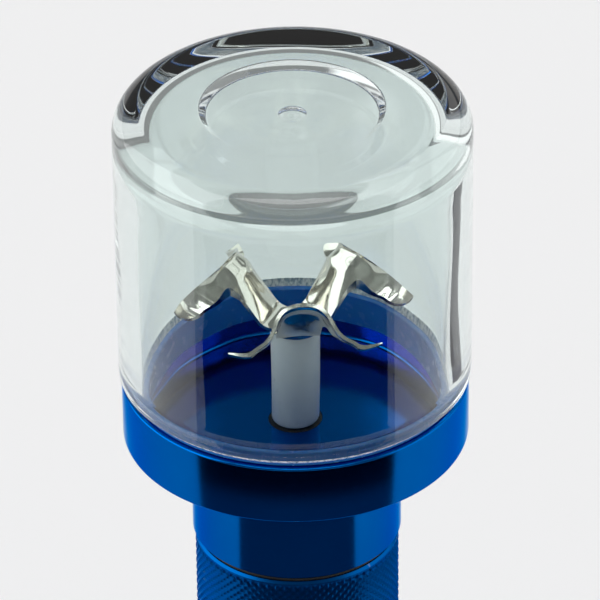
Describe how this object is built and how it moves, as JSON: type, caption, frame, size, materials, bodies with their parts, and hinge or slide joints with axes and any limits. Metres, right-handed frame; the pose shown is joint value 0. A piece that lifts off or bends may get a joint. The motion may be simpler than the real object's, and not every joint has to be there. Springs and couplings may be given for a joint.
{
  "type": "handheld grinder",
  "caption": "Hand-held battery grinder: a clear glass chamber over a spinning bent blade, on a dished metal head with a knurled handle and a push button in its tail.",
  "frame": {"origin": "centre of the tail's rest face, on the handle's axis", "axes": "+Z along the handle's axis from the tail to the glass; +X to the right of the main view, +Y away from it"},
  "size_m": [0.044, 0.044, 0.1557],
  "materials": {
    "glass": "clear moulded glass",
    "blue_anodised": "blue anodised, fine turning marks",
    "blue_knurl": "blue anodised, diamond knurl",
    "blade_steel": "polished stamped steel",
    "steel": "bright zinc-plated steel",
    "shaft_steel": "ground steel",
    "white_nylon": "translucent moulded nylon",
    "black_rubber": "moulded rubber",
    "blue_silicone": "translucent blue silicone",
    "black_plastic": "moulded plastic",
    "white_plastic": "moulded plastic",
    "bronze": "sintered bronze",
    "copper": "enamelled copper wire",
    "ferrite": "sintered ferrite",
    "iron": "stacked laminations",
    "brass": "nickel-free brass",
    "board": "glass-fibre board",
    "red_wire": "insulated wire",
    "cell_sleeve": "shrink sleeve"
  },
  "bodies": {
    "handle": {"glass_seal": "blue_silicone", "head_housing": "blue_anodised", "shaft_seal": "black_rubber", "motor_can": "steel", "motor_magnet_left": "ferrite", "motor_magnet_right": "ferrite", "motor_end_cap": "white_plastic", "front_bush": "bronze", "rear_bush": "bronze", "brush_left": "brass", "brush_right": "brass", "motor_holder": "black_plastic", "wire_plus": "red_wire", "wire_minus": "black_plastic", "contact_board": "board", "contact_spring": "steel", "handle_tube": "blue_knurl", "neck_oring": "black_rubber"},
    "cup": {"glass_cup": "glass"},
    "rotor": {"drive_post": "white_nylon", "blade": "blade_steel", "blade_screw": "steel", "motor_shaft": "shaft_steel", "armature_core": "iron", "armature_winding_1": "copper", "armature_winding_2": "copper", "armature_winding_3": "copper", "commutator": "brass"},
    "carrier": {"carrier_frame": "black_plastic", "carrier_cap": "black_plastic", "cell_1": "cell_sleeve", "cell_2": "cell_sleeve", "cell_3": "cell_sleeve", "carrier_plates_top": "brass", "carrier_plates_bottom": "brass"},
    "tail": {"tail_cap": "blue_knurl", "tail_oring": "black_rubber", "switch_body": "black_plastic", "switch_retainer": "brass", "tail_spring": "steel"},
    "button": {"switch_boot": "black_rubber", "switch_plunger": "white_plastic"}
  },
  "joints": [
    {"name": "glass_lift", "type": "slide", "parent": "handle", "child": "cup", "axis": [0, 0, 1], "range_m": [0, 0.045]},
    {"name": "rotor_spin", "type": "hinge", "parent": "handle", "child": "rotor", "pos_m": [0, 0, 0.1114], "axis": [0, 0, 1], "continuous": true},
    {"name": "tail_draw", "type": "slide", "parent": "handle", "child": "tail", "axis": [0, 0, -1], "range_m": [0, 0.13]},
    {"name": "carrier_draw", "type": "slide", "parent": "handle", "child": "carrier", "axis": [0, 0, -1], "range_m": [0, 0.065]},
    {"name": "switch_press", "type": "slide", "parent": "tail", "child": "button", "axis": [0, 0, 1], "range_m": [0, 0.0018], "stiffness_N_per_m": 1200, "springref_m": -0.001}
  ],
  "couplings": [
    {"joint": "carrier_draw", "follows": "tail_draw", "ratio": 0.5}
  ]
}
